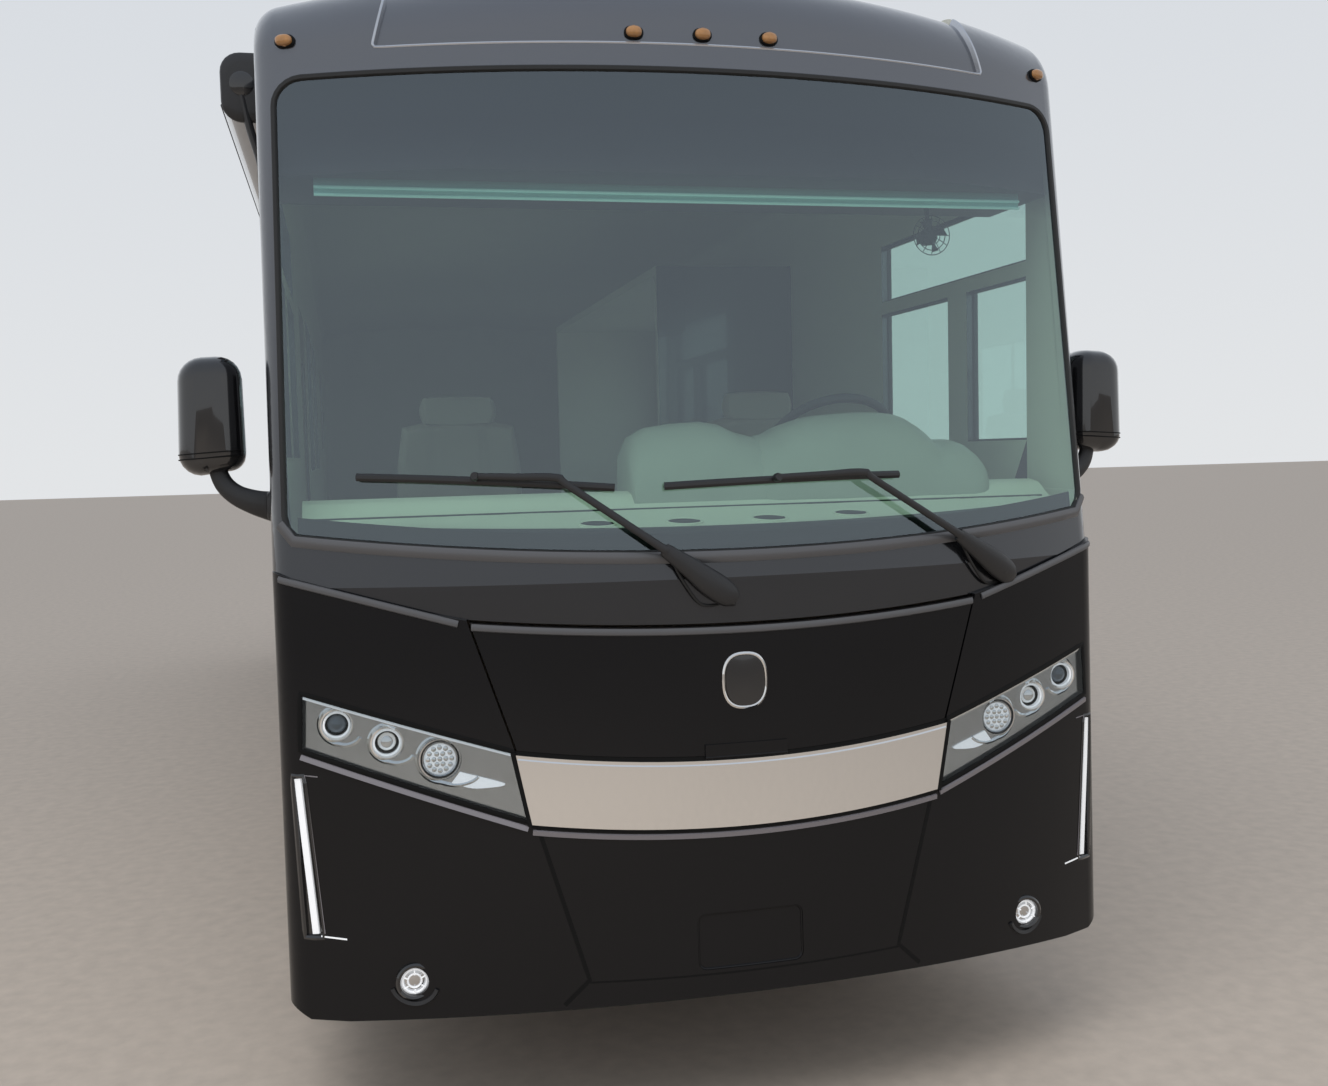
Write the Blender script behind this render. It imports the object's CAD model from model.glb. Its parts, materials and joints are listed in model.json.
"""Looks of the motorhome, in metres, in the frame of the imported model.

+Z is up, the nose faces -Y and +X is the vehicle's left side.
Places on a surface are pairs (u, v): u runs to the right as seen from outside, v is the height.
Sections of bands and profiles of lathes and domes are in millimetres.
"""
import json
from math import copysign, cos, dist, exp, pi, radians, sin, sqrt, tan, tau

import bmesh
import bpy
from mathutils import Matrix, Vector


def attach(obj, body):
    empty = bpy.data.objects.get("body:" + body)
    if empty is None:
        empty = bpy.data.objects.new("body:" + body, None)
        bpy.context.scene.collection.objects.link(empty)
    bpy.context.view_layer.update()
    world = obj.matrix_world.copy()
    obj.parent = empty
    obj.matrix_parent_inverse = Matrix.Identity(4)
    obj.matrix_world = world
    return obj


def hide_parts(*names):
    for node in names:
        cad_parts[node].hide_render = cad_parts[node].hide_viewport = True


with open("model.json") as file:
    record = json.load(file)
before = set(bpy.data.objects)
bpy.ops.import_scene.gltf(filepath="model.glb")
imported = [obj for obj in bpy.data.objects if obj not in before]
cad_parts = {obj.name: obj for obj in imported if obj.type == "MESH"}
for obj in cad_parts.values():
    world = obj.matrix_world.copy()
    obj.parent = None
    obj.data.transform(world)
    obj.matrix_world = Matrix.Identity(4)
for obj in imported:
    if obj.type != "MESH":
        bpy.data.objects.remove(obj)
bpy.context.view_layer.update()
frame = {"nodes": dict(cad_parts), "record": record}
nodes = frame["nodes"]

# Places on the body, in metres; stations run rearward from the nose plane
NOSE_Y = -5.3
BODY_LENGTH = 10.54
HALF_WIDTH = 1.275
INNER_X = 1.235
BOW_RADIUS = 2.89
CORNER_RADIUS = 0.095
SCREEN_FOOT = 1.6
SCREEN_LEAN = 0.1446
FASCIA_STEP = 0.015
FASCIA_LEAN = 0.022
FLOOR_TOP = 1.12
TYRE_RADIUS = 0.478
S_FRONT_AXLE, S_REAR_AXLE = 1.9, 7.183
SIDES = ((1, "left"), (-1, "right"))
MM = 0.001
FORWARD, REARWARD, LEFTWARD, UPWARD = (0, -1, 0), (0, 1, 0), (1, 0, 0), (0, 0, 1)


def at(s):
    """Y of a station behind the nose plane."""
    return NOSE_Y + s


def bow(x):
    """How far the nose lies behind its middle at a distance x from the centre line."""
    x = abs(x)
    centre = HALF_WIDTH - CORNER_RADIUS
    reach = BOW_RADIUS - CORNER_RADIUS
    depth = BOW_RADIUS - sqrt(reach ** 2 - centre ** 2)
    turn = BOW_RADIUS * centre / reach
    if x < turn:
        return BOW_RADIUS - sqrt(BOW_RADIUS ** 2 - x ** 2)
    return depth - sqrt(max(0, CORNER_RADIUS ** 2 - (x - centre) ** 2))


# Surfaces: each gives the point at (u, v)

def cap_at(x, z):
    """Front cap and windscreen."""
    return Vector((x, at(bow(x) + SCREEN_LEAN * max(0, z - SCREEN_FOOT)), z))


def crown_at(x, z):
    """Front cap, going over its rounding into the roof."""
    top = 3.385 - 0.085 * (x / HALF_WIDTH) ** 2
    start, centre, radius = top - 0.1886, top - 0.22, 0.22
    if z <= start:
        return cap_at(x, z)
    back = bow(x) + SCREEN_LEAN * (start - SCREEN_FOOT) + radius * 0.98975
    return Vector((x, at(back - sqrt(max(0, radius ** 2 - (z - centre) ** 2))), z))


def fascia_at(x, z):
    """Nose below the ledge."""
    return Vector((x, at(bow(x) - FASCIA_STEP - FASCIA_LEAN * (SCREEN_FOOT - z)), z))


def flank(k, proud=0):
    """Side wall of side k (+1 left, -1 right); u is k times the station."""
    return lambda u, z: Vector((k * (HALF_WIDTH + proud), at(k * u), z))


def rear_at(u, z):
    """Rear cap; u is minus x."""
    return Vector((-u, at(BODY_LENGTH), z))


def outward(surface, u, v):
    """Normal of a surface, pointing out."""
    step = 0.002
    across = surface(u + step, v) - surface(u - step, v)
    upward = surface(u, v + step) - surface(u, v - step)
    return across.cross(upward).normalized()


# Lines of (u, v) points

ARC_STEPS = 6


def rounded(corners):
    """Line through (u, v, radius) corners, anticlockwise, each turned by an arc."""
    line = []
    for i, (u, v, radius) in enumerate(corners):
        here = Vector((u, v))
        if not radius:
            line.append((u, v))
            continue
        before = (Vector(corners[i - 1][:2]) - here).normalized()
        after = (Vector(corners[(i + 1) % len(corners)][:2]) - here).normalized()
        half = before.angle(after) / 2
        centre = here + (before + after).normalized() * radius / sin(half)
        start = here + before * radius / tan(half) - centre
        end = here + after * radius / tan(half) - centre
        sweep = start.angle(end)
        for share in spread(0, 1, ARC_STEPS):
            a, b = sin(sweep * (1 - share)), sin(sweep * share)
            line.append(tuple(centre + (start * a + end * b) / sin(sweep)))
    return line


def rectangle(u0, v0, u1, v1, radius=0):
    """Anticlockwise rectangle with rounded corners."""
    return rounded([(u0, v0, radius), (u1, v0, radius), (u1, v1, radius), (u0, v1, radius)])


def between(a, b, count):
    """Points from a to b."""
    return [tuple(p + (q - p) * i / count for p, q in zip(a, b)) for i in range(count + 1)]


def dense(line, step, closed=False):
    """Line with its long runs divided."""
    result = []
    for a, b in zip(line, line[1:] + (line[:1] if closed else [])):
        result += between(a, b, max(1, round(dist(a, b) / step)))[:-1]
    return result if closed else result + [line[-1]]


def spread(a, b, count):
    """Numbers from a to b, evenly apart."""
    return [a + (b - a) * i / count for i in range(count + 1)]


def sag(x0, x1, ends, middle, count):
    """Shallow arc from x0 to x1 that is even about the centre line."""
    reach = max(abs(x0), abs(x1))
    return [(x, middle + (ends - middle) * (x / reach) ** 2) for x in spread(x0, x1, count)]


def turns(count, first=0):
    """Angles that divide a circle evenly."""
    return [tau * (i + first) / count for i in range(count)]


def facing(turn, reach, rise=0):
    """Place on a circle that faces forward."""
    return Vector((reach * cos(turn), rise, reach * sin(turn)))


def placed(points, k=1):
    """Points (x, station, z, ...) as (x, y, z, ...), on side k."""
    return [(k * x, at(s), *rest) for x, s, *rest in points]


# Sections and profiles, in millimetres

def flat(half, high, low=0):
    """Section of a narrow strip."""
    return [(-half, low), (-half, high), (half, high), (half, low)]


def hoop(radius, wide, low, high):
    """Profile of a ring with a ridge."""
    return [(low, radius + wide), (high, radius + wide), (high + 2, radius), (high, radius - wide),
        (low, radius - wide)]


# Meshes: each call adds one to the pile that the next piece is made of

pile = []
DOME_STEPS = 40


def skin(name, material, rings, closed=False, sharp=40):
    """Closed surface through rings of points, each ring with the same number of points."""
    count, rows = len(rings[0]), len(rings)
    faces = []
    for i in range(rows if closed else rows - 1):
        j = (i + 1) % rows
        for a in range(count):
            b = (a + 1) % count
            faces.append((i * count + a, i * count + b, j * count + b, j * count + a))
    if not closed:
        faces.append(tuple(range(count)))
        faces.append(tuple((rows - 1) * count + a for a in range(count)))
    mesh = bpy.data.meshes.new(name)
    mesh.from_pydata([p for ring in rings for p in ring], [], faces)
    shell = bmesh.new()
    shell.from_mesh(mesh)
    bmesh.ops.remove_doubles(shell, verts=shell.verts, dist=1e-06)
    bmesh.ops.recalc_face_normals(shell, faces=shell.faces)
    shell.to_mesh(mesh)
    shell.free()
    mesh.shade_smooth()
    mesh.set_sharp_from_angle(angle=radians(sharp))
    pile.append((mesh, material))


def lathe(name, material, origin, axis, profile, steps=32, closed=False):
    """Profile of (distance along the axis, radius), turned about it."""
    axis = Vector(axis).normalized()
    side = axis.orthogonal().normalized()
    other = axis.cross(side)
    spokes = [side * cos(turn) + other * sin(turn) for turn in turns(steps)]
    rings = [[Vector(origin) + axis * (d * MM) + spoke * max(r * MM, 1e-05) for spoke in spokes]
        for d, r in profile]
    skin(name, material, rings, closed)


def smooth_path(points, steps=6):
    """Points on a Catmull-Rom curve; each point may carry more numbers, such as a radius."""
    ends = [points[0]] + list(points) + [points[-1]]
    path = []
    for i in range(1, len(ends) - 2):
        for j in range(steps):
            t = j / steps
            path.append(tuple(0.5 * (2 * b + (c - a) * t + (2 * a - 5 * b + 4 * c - d) * t ** 2
                + (3 * b - a - 3 * c + d) * t ** 3) for a, b, c, d in zip(*ends[i - 1:i + 3])))
    return path + [tuple(points[-1])]


def tube(name, material, points, sides=12, steps=6, squash=1, up=UPWARD):
    """Round or flattened bar through (x, y, z, radius) points; squash scales it along up."""
    path = smooth_path(points, steps)
    rings = []
    for i, (x, y, z, radius) in enumerate(path):
        before, after = path[max(0, i - 1)], path[min(len(path) - 1, i + 1)]
        ahead = (Vector(after[:3]) - Vector(before[:3])).normalized()
        side = ahead.cross(Vector(up)).normalized()
        over = side.cross(ahead)
        rings.append([Vector((x, y, z)) + side * radius * cos(a) + over * radius * squash * sin(a)
            for a in turns(sides)])
    skin(name, material, rings)


def band(name, material, surface, line, section, closed=False):
    """Strip along a line on a surface; section is (across, proud), across to the left of the way along."""
    rings = []
    last = len(line) - 1
    for i, (u, v) in enumerate(line):
        before = line[i - 1] if closed or i else line[i]
        after = line[(i + 1) % len(line)] if closed or i < last else line[i]
        normal = outward(surface, u, v)
        ahead = surface(*after) - surface(*before)
        ahead = (ahead - normal * ahead.dot(normal)).normalized()
        across = normal.cross(ahead)
        rings.append([surface(u, v) + across * (a * MM) + normal * (b * MM) for a, b in section])
    skin(name, material, rings, closed)


def plate(name, material, surface, low, high, front, back, rows=1):
    """Solid sheet on a surface between two lines of equal count, from proud = front to proud = back."""
    rings = []
    for a, b in zip(low, high):
        rung = between(a, b, rows)
        rings.append([surface(*p) + outward(surface, *p) * front for p in rung]
            + [surface(*p) + outward(surface, *p) * back for p in reversed(rung)])
    skin(name, material, rings)


def quad(name, material, surface, corners, front, back, columns, rows):
    """Plate with four corners: lower left, lower right, upper right, upper left."""
    a, b, c, d = corners
    plate(name, material, surface, between(a, b, columns), between(d, c, columns), front, back, rows)


def dome(name, material, surface, centre, size, profile, power=2):
    """Round or rounded-square boss: profile is (share of the size, proud) from rim to middle."""
    rings = []
    for share, proud in profile:
        ring = []
        for turn in turns(DOME_STEPS):
            c, s = cos(turn), sin(turn)
            u = centre[0] + size[0] * share * copysign(abs(c) ** (2 / power), c)
            v = centre[1] + size[1] * share * copysign(abs(s) ** (2 / power), s)
            ring.append(surface(u, v) + outward(surface, u, v) * (proud * MM))
        rings.append(ring)
    skin(name, material, rings)


def box_mesh(name, material, low, high, bevel):
    """Block between two corners with rounded edges."""
    shell = bmesh.new()
    bmesh.ops.create_cube(shell, size=1)
    size = [b - a for a, b in zip(low, high)]
    for vert in shell.verts:
        vert.co = Vector([a + (c + 0.5) * d for a, c, d in zip(low, vert.co, size)])
    bmesh.ops.bevel(shell, geom=list(shell.edges), offset=bevel, segments=3, profile=0.5, affect="EDGES")
    mesh = bpy.data.meshes.new(name)
    shell.to_mesh(mesh)
    shell.free()
    mesh.shade_smooth()
    mesh.set_sharp_from_angle(angle=radians(50))
    pile.append((mesh, material))


def linked(name, data):
    """New object in the scene."""
    obj = bpy.data.objects.new(name, data)
    bpy.context.scene.collection.objects.link(obj)
    return obj


def group(name, body="root", replaces=()):
    """One piece from the meshes on the pile, riding on a body."""
    whole = bmesh.new()
    mesh = bpy.data.meshes.new(name)
    for part, material in pile:
        if material.name not in mesh.materials:
            mesh.materials.append(material)
        index = list(mesh.materials).index(material)
        for face in part.polygons:
            face.material_index = index
        whole.from_mesh(part)
    pile.clear()
    whole.to_mesh(mesh)
    whole.free()
    obj = linked(name, mesh)
    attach(obj, body)
    if replaces:
        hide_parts(*replaces)
    return obj


# Materials

def node(tree, kind, **values):
    """Outputs of a new node, its inputs set to values or linked to other outputs."""
    made = tree.nodes.new("ShaderNode" + kind)
    feed(tree, made, values)
    return made.outputs


def feed(tree, made, values):
    """Sets a node's inputs to values or links them to outputs."""
    for key, value in values.items():
        place = made.inputs[key if isinstance(key, int) else key.replace("_", " ")]
        if isinstance(value, bpy.types.NodeSocket):
            tree.links.new(value, place)
        else:
            place.default_value = value


def mix_node(tree, kind, a, b, factor):
    """Mix of two values or outputs."""
    mix = tree.nodes.new("ShaderNodeMix")
    mix.data_type = kind
    first, second, result = {"RGBA": (6, 7, 2), "FLOAT": (2, 3, 0)}[kind]
    feed(tree, mix, {first: a, second: b, 0: factor})
    return mix.outputs[result]


def noise(tree, scale, detail, stretch=(1, 1, 1)):
    """Noise in the piece's own coordinates."""
    place = node(tree, "TexCoord")["Object"]
    stretched = node(tree, "Mapping", Scale=stretch, Vector=place)["Vector"]
    return node(tree, "TexNoise", Scale=scale, Detail=detail, Vector=stretched)["Fac"]


def height(tree, coordinates="Object"):
    """Height in the piece's own or the generated coordinates."""
    return node(tree, "SeparateXYZ", Vector=node(tree, "TexCoord")[coordinates])["Z"]


def height_share(tree, low, high):
    """Share from 0 at the height low to 1 at high."""
    return node(tree, "MapRange", From_Min=low, From_Max=high, Value=height(tree))["Result"]


def new_material(name):
    """Empty material and its node tree."""
    material = bpy.data.materials.new(name)
    material.use_nodes = True
    return material, material.node_tree


def finish(name, colour, rough, metallic, coat, vary, grain, bump, patch=1.5, stretch=(1, 1, 1),
        rough_vary=0.06, level=0.5, fade=None, **extra):
    """Procedural surface: colour and roughness vary in patches, with a fine grain in the bump.

    fade is (low, high, colour): the colour turns to that one between two heights.
    """
    material, tree = new_material(name)
    dark = [c * (1 - vary) for c in colour] + [1]
    light = [min(1, c * (1 + vary)) for c in colour] + [1]
    cloud = noise(tree, patch, 4, stretch)
    tone = mix_node(tree, "RGBA", dark, light, cloud)
    if fade:
        low, high, top_colour = fade
        tone = mix_node(tree, "RGBA", tone, (*top_colour, 1), height_share(tree, low, high))
    smoother, rougher = max(0, rough - rough_vary), min(1, rough + rough_vary)
    values = {"Metallic": metallic, "Coat Weight": coat, "Coat Roughness": 0.03, "Specular IOR Level": level,
        "Base Color": tone, "Roughness": mix_node(tree, "FLOAT", smoother, rougher, cloud), **extra}
    if bump:
        fine = noise(tree, grain, 2, stretch)
        values["Normal"] = node(tree, "Bump", Strength=bump, Distance=MM, Height=fine)["Normal"]
    feed(tree, tree.nodes["Principled BSDF"], values)
    return material


def glass(name, colour, index=1.5, top_colour=None, top_low=0, top_high=1):
    """Tinted pane: light passes straight through, the outer face reflects; a tint may fade in at the top."""
    material, tree = new_material(name)
    tree.nodes.remove(tree.nodes["Principled BSDF"])
    cloud = noise(tree, 0.8, 2)
    tint = mix_node(tree, "RGBA", (*[c * 0.97 for c in colour], 1), (*colour, 1), cloud)
    if top_colour:
        tint = mix_node(tree, "RGBA", tint, (*top_colour, 1), height_share(tree, top_low, top_high))
    through = node(tree, "BsdfTransparent", Color=tint)["BSDF"]
    shine = node(tree, "BsdfGlossy", Roughness=0, Color=(0.8, 0.92, 1, 1))["BSDF"]
    edge = node(tree, "Fresnel", IOR=index)["Fac"]
    outer = mix_node(tree, "FLOAT", edge, 0, node(tree, "NewGeometry")["Backfacing"])
    blend = tree.nodes.new("ShaderNodeMixShader")
    feed(tree, blend, {0: outer, 1: through, 2: shine})
    tree.links.new(blend.outputs["Shader"], tree.nodes["Material Output"].inputs["Surface"])
    return material


body_paint = finish("body_paint", (0.034, 0.036, 0.041), 0.2, 0.75, 1, 0.12, 3000, 0.01, rough_vary=0.03,
    fade=(1.75, 3.05, (0.125, 0.132, 0.148)))
fascia_paint = finish("fascia_paint", (0.006, 0.006, 0.007), 0.12, 0, 0, 0.2, 2000, 0.005,
    rough_vary=0.03, level=0.3)
roof_shell = finish("roof_shell", (0.62, 0.62, 0.6), 0.45, 0, 0.2, 0.06, 300, 0.15)
chrome = finish("chrome", (0.86, 0.85, 0.83), 0.05, 1, 0, 0.03, 50, 0.01, rough_vary=0.02)
lamp_silver = finish("lamp_silver", (0.6, 0.6, 0.6), 0.16, 1, 0, 0.1, 900, 0.02, 20, rough_vary=0.04)
lip_grey = finish("lip_grey", (0.22, 0.205, 0.22), 0.3, 0.1, 0.3, 0.1, 1500, 0.1)
black_gloss = finish("black_gloss", (0.008, 0.008, 0.009), 0.1, 0, 1, 0.2, 800, 0.01, rough_vary=0.03)
black_plastic = finish("black_plastic", (0.016, 0.016, 0.017), 0.42, 0, 0.1, 0.2, 1500, 0.3)
grey_satin = finish("grey_satin", (0.1, 0.1, 0.105), 0.35, 0.2, 0.2, 0.1, 1500, 0.1)
seam_black = finish("seam_black", (0.004, 0.004, 0.004), 0.6, 0, 0, 0.3, 900, 0.1, level=0.2)
rubber = finish("rubber", (0.013, 0.013, 0.013), 0.5, 0, 0, 0.25, 900, 0.25)
tyre_rubber = finish("tyre_rubber", (0.028, 0.027, 0.026), 0.78, 0, 0, 0.3, 600, 0.5, 6)
chassis = finish("chassis_steel", (0.03, 0.03, 0.031), 0.5, 0.3, 0.1, 0.3, 500, 0.3, 5)
aluminium = finish("aluminium", (0.7, 0.71, 0.72), 0.16, 1, 0, 0.05, 700, 0.05, 4)
steel_tube = finish("steel_tube", (0.55, 0.55, 0.55), 0.28, 1, 0, 0.08, 900, 0.1, 8, (1, 1, 0.1))
amber = finish("amber_lens", (0.36, 0.17, 0.05), 0.22, 0.2, 1, 0.3, 160, 0.3, 60)
red_lens = finish("red_lens", (0.42, 0.01, 0.012), 0.15, 0, 1, 0.2, 300, 0.1, 30)
lamp_white = finish("lamp_white", (0.92, 0.93, 0.94), 0.25, 0, 1, 0.04, 260, 0.3, 60, Emission_Color=(0.95,
    0.97, 1, 1), Emission_Strength=0.28)
lens_ball = finish("lens_ball", (0.1, 0.12, 0.14), 0.04, 0.3, 1, 0.2, 60, 0.02, 20)
cab_trim = finish("cab_trim", (0.7, 0.7, 0.61), 0.55, 0, 0.05, 0.05, 300, 0.15, 4)
shade_bar = finish("shade_bar", (0.62, 0.9, 0.88), 0.4, 0, 0, 0.05, 300, 0.1, 4, Emission_Color=(0.4, 0.8,
    0.8, 1), Emission_Strength=0.16)
cab_hood = finish("cab_hood", (0.4, 0.41, 0.37), 0.5, 0, 0.1, 0.1, 300, 0.15, 4)
cab_dark = finish("cab_dark", (0.03, 0.03, 0.034), 0.6, 0, 0.05, 0.2, 1200, 0.3, 4)
valance = finish("valance", (0.1, 0.085, 0.1), 0.6, 0, 0, 0.2, 900, 0.3, 5)
shade_cloth = finish("shade_cloth", (0.5, 0.82, 0.82), 0.7, 0, 0, 0.08, 300, 0.2, 5, fade=(2.722, 2.8,
    (0.05, 0.06, 0.07)))
edge_light = finish("edge_light", (0.52, 0.54, 0.58), 0.22, 0.8, 0.3, 0.06, 800, 0.05)
floor_board = finish("floor_board", (0.2, 0.17, 0.14), 0.6, 0, 0, 0.25, 300, 0.2, 4)
leather = finish("seat_leather", (0.3, 0.27, 0.22), 0.5, 0, 0.05, 0.1, 700, 0.6, 5)
wood = finish("cabinet_wood", (0.16, 0.09, 0.05), 0.35, 0, 0.4, 0.45, 200, 0.1, 6, (1, 9, 9))
awning_cloth = finish("awning_cloth", (0.03, 0.03, 0.032), 0.8, 0, 0, 0.3, 900, 0.6, 8)
screen_glass = glass("screen_glass", (0.8, 0.9, 0.85), 2.25, (0.36, 0.37, 0.43), 2.68, 2.9)
side_glass = glass("side_glass", (0.8, 0.88, 0.87))
clear_lens = glass("clear_lens", (0.9, 0.92, 0.93))
mirror_glass = finish("mirror_glass", (0.8, 0.82, 0.84), 0.02, 1, 0, 0.02, 20, 0, rough_vary=0.01)

node_finish = {"body_paint": body_paint, "fascia_paint": fascia_paint, "roof_shell": body_paint,
    "chrome": chrome, "tinted_glass": side_glass, "lamp_housing": lamp_silver, "amber_lens": amber,
    "red_lens": red_lens, "black_plastic": black_plastic, "chassis_steel": chassis,
    "floor_board": floor_board, "cab_trim": cab_trim, "seat_leather": leather, "cabinet_wood": wood,
    "steel_tube": steel_tube, "polished_aluminium": aluminium, "tyre": tyre_rubber}
own_finish = {"windscreen": screen_glass, "roof_units": roof_shell, "overhead_cabinet": valance,
    "running_lamps": black_gloss}
lined = ("front_cap", "left_wall", "right_wall", "roof", "rear_cap", "slide_room")


def dress(name, material):
    """Gives a CAD node its material and smooth curved faces; inner faces of the body get the cabin's trim."""
    mesh = nodes[name].data
    mesh.materials.clear()
    mesh.materials.append(material)
    if name in lined:
        mesh.materials.append(cab_trim)
        middle = Vector((0, at(BODY_LENGTH / 2), 1.9))
        for face in mesh.polygons:
            centre = face.center
            inward = (centre - middle).dot(face.normal) < 0
            deep = abs(centre.x) < INNER_X + 0.002 and at(0.06) < centre.y < at(BODY_LENGTH - 0.039)
            if inward and deep and centre.z > FLOOR_TOP and abs(face.normal.dot(centre - middle)) > 0.3:
                face.material_index = 1
    mesh.shade_smooth()
    mesh.set_sharp_from_angle(angle=radians(25))


for row in frame["record"]["subparts"]:
    dress(row["node"], own_finish.get(row["node"], node_finish[row["material_slot"]]))


# Windscreen surround and ledge
def ledge(x):
    """Height of the ledge that parts the fascia from the cap."""
    x = abs(x)
    if x < 0.765:
        return 1.473 + 0.035 * (x / 0.765) ** 2
    return 1.508 + 0.08 * (x - 0.765) / 0.295 if x < 1.06 else 1.588 + 0.057 * (x - 1.06) / 0.215


def ledge_line(x0, x1, drop, count):
    """Line a drop below the ledge."""
    return [(x, ledge(x) - drop) for x in spread(x0, x1, count)]


foot_line = sag(-1.205, 1.205, 1.742, 1.672, 32)
screen_sides = rounded([(1.236, 1.8, 0), (1.222, 3.045, 0.08), (-1.222, 3.045, 0.08), (-1.236, 1.8, 0)])
screen_line = dense(foot_line + [(1.228, 1.765)] + screen_sides + [(-1.228, 1.765)], 0.06, True)
bead = [(-8, -6), (-8, 1), (-4, 5), (5, 4), (9, -2), (9, -10)]
foot_bead = [(2, -2), (2, 8), (-6, 12), (-20, 10), (-30, 3), (-30, -4)]
band("gasket", rubber, cap_at, screen_line, bead, True)
band("foot", grey_satin, cap_at, [(-1.236, 1.785)] + foot_line + [(1.236, 1.785)], foot_bead)
group("screen_gasket")
frit_low, frit_high = ([(x, z + rise) for x, z in foot_line] for rise in (0.008, 0.055))
plate("frit", seam_black, cap_at, frit_low, frit_high, -0.0145, -0.0165)
group("screen_frit")

lip = [(10, -4), (9, 3), (2, 6), (-8, 4), (-12, -2)]
band("bead", grey_satin, fascia_at, ledge_line(-0.745, 0.745, 0.018, 40), lip)
group("ledge_bead_door", "nose_door")
for k, _ in SIDES:
    band("bead", grey_satin, fascia_at, ledge_line(k * 0.78, k * 1.255, 0.014, 24)[::k], lip)
group("ledge_bead")


# Wipers: pivot, knee, holder, tip and heel of each
WIPERS = [((-0.063, 1.568), (-0.496, 1.884), (-0.712, 1.895), (-1.03, 1.903), (-0.341, 1.857)),
    ((0.853, 1.577), (0.377, 1.875), (0.117, 1.87), (-0.204, 1.857), (0.509, 1.87))]


def over_cap(place, proud, radius):
    """Point of a tube over the front cap."""
    return (*cap_at(*place) + outward(cap_at, *place) * proud, radius)


def part_way(a, b, share):
    """Point at a share of the way from a to b."""
    return [p + (q - p) * share for p, q in zip(a, b)]


for pivot, knee, holder, tip, heel in WIPERS:
    lathe("post", black_plastic, cap_at(*pivot), outward(cap_at, *pivot), [(0, 30), (6, 30), (12, 21),
        (34, 19), (38, 14), (40, 0)])
    cover = ((-0.1, 0.016, 0.02), (-0.06, 0.019, 0.033), (0, 0.021, 0.038), (0.08, 0.023, 0.037),
        (0.2, 0.029, 0.029), (0.36, 0.039, 0.019))
    tube("cover", black_plastic, [over_cap(part_way(pivot, knee, t), h, r) for t, h, r in cover], 20, 5,
        0.5, FORWARD)
    for turn in (-0.03, 0.026):
        hose = []
        for t, bend, h in ((0.3, 0.2, 0.022), (0.16, 1, 0.014), (0.02, 1.5, 0.008), (-0.06, 0.8, -0.004)):
            x, z = part_way(pivot, knee, t)
            hose.append(over_cap((x + turn * bend, z - 0.03 * bend), h, 0.0045))
        tube("hose", rubber, hose, 8, 6)
    arm = ((pivot, knee, 0.34, 0.04, 0.016), (pivot, knee, 0.42, 0.043, 0.0115), (pivot, knee, 0.92, 0.042,
        0.0105), (pivot, knee, 1, 0.041, 0.0115), (knee, holder, 0.5, 0.039, 0.0105), (knee, holder, 1,
        0.037, 0.009))
    tube("arm", black_plastic, [over_cap(part_way(a, b, t), h, r) for a, b, t, h, r in arm], 12, 6, 0.6,
        FORWARD)
    clip = ((0.046, 0.01), (0.034, 0.013), (0.02, 0.012))
    tube("clip", black_plastic, [over_cap(holder, h, r) for h, r in clip], 10, 3, 1, LEFTWARD)
    run = [(x, z + 0.004 * (1 - (2 * i / 24 - 1) ** 2)) for i, (x, z) in enumerate(between(tip, heel, 24))]
    band("blade", rubber, cap_at, run, [(-2, -3), (2, -3), (4, 8), (-4, 8)])
    band("spine", black_plastic, cap_at, run, [(-9, 8), (9, 8), (11, 13), (4, 19), (-4, 19), (-11, 13)])
group("wiper_sets", replaces=("wipers",))


# Mirrors: a shaped head with its glass facing rearward, on a curved flat arm
def mirror_ring(k, s, grow):
    """Outline of a mirror head at a station, grown all round."""
    line = rounded([(1.348 - grow, 1.934 - grow, 0.05 + grow * 0.8), (1.45, 1.922 - grow, 0.03),
        (1.539 + grow, 1.896 - grow, 0.062 + grow), (1.529 + grow, 2.262 + grow, 0.075 + grow),
        (1.352 - grow, 2.27 + grow, 0.065 + grow)])
    return [(k * x, at(s), z) for x, z in line]


MIRROR_HEAD = ((0.505, -0.05), (0.512, -0.028), (0.528, -0.012), (0.552, -0.003), (0.585, 0), (0.612, 0),
    (0.62, -0.004), (0.62, -0.014), (0.608, -0.016))
MIRROR_ARM = ((1.28, 0.56, 1.822, 0.044), (1.325, 0.558, 1.834, 0.037), (1.375, 0.562, 1.856, 0.031),
    (1.41, 0.57, 1.888, 0.028), (1.428, 0.578, 1.93, 0.026), (1.43, 0.58, 1.975, 0.026))
MIRROR_SEAM = ((1.357, 0.53), (1.376, 0.512), (1.4, 0.505), (1.484, 0.505), (1.51, 0.512), (1.525, 0.528),
    (1.534, 0.552), (1.537, 0.605))
for k, name in SIDES:
    skin("head", black_gloss, [mirror_ring(k, s, grow) for s, grow in MIRROR_HEAD], sharp=50)
    skin("pane", mirror_glass, [mirror_ring(k, s, -0.018) for s in (0.606, 0.6125)], sharp=30)
    tube("arm", black_plastic, placed(MIRROR_ARM, k), 20, 6, 0.55, REARWARD)
    for z in (1.99, 1.975):
        tube("seam", seam_black, placed([(x, s, z - 0.06 * (x - 1.35), 0.0018) for x, s in MIRROR_SEAM], k),
            8, 2)
    skin("foot", black_plastic, [[(k * x, at(0.56) + y * g, 1.822 + z * g) for y, z in rectangle(-0.06,
        -0.045, 0.06, 0.045, 0.03)] for x, g in ((1.268, 1), (1.282, 1), (1.29, 0.9), (1.294, 0.6))])
    group("mirror_" + name, replaces=("mirrors",))


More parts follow.
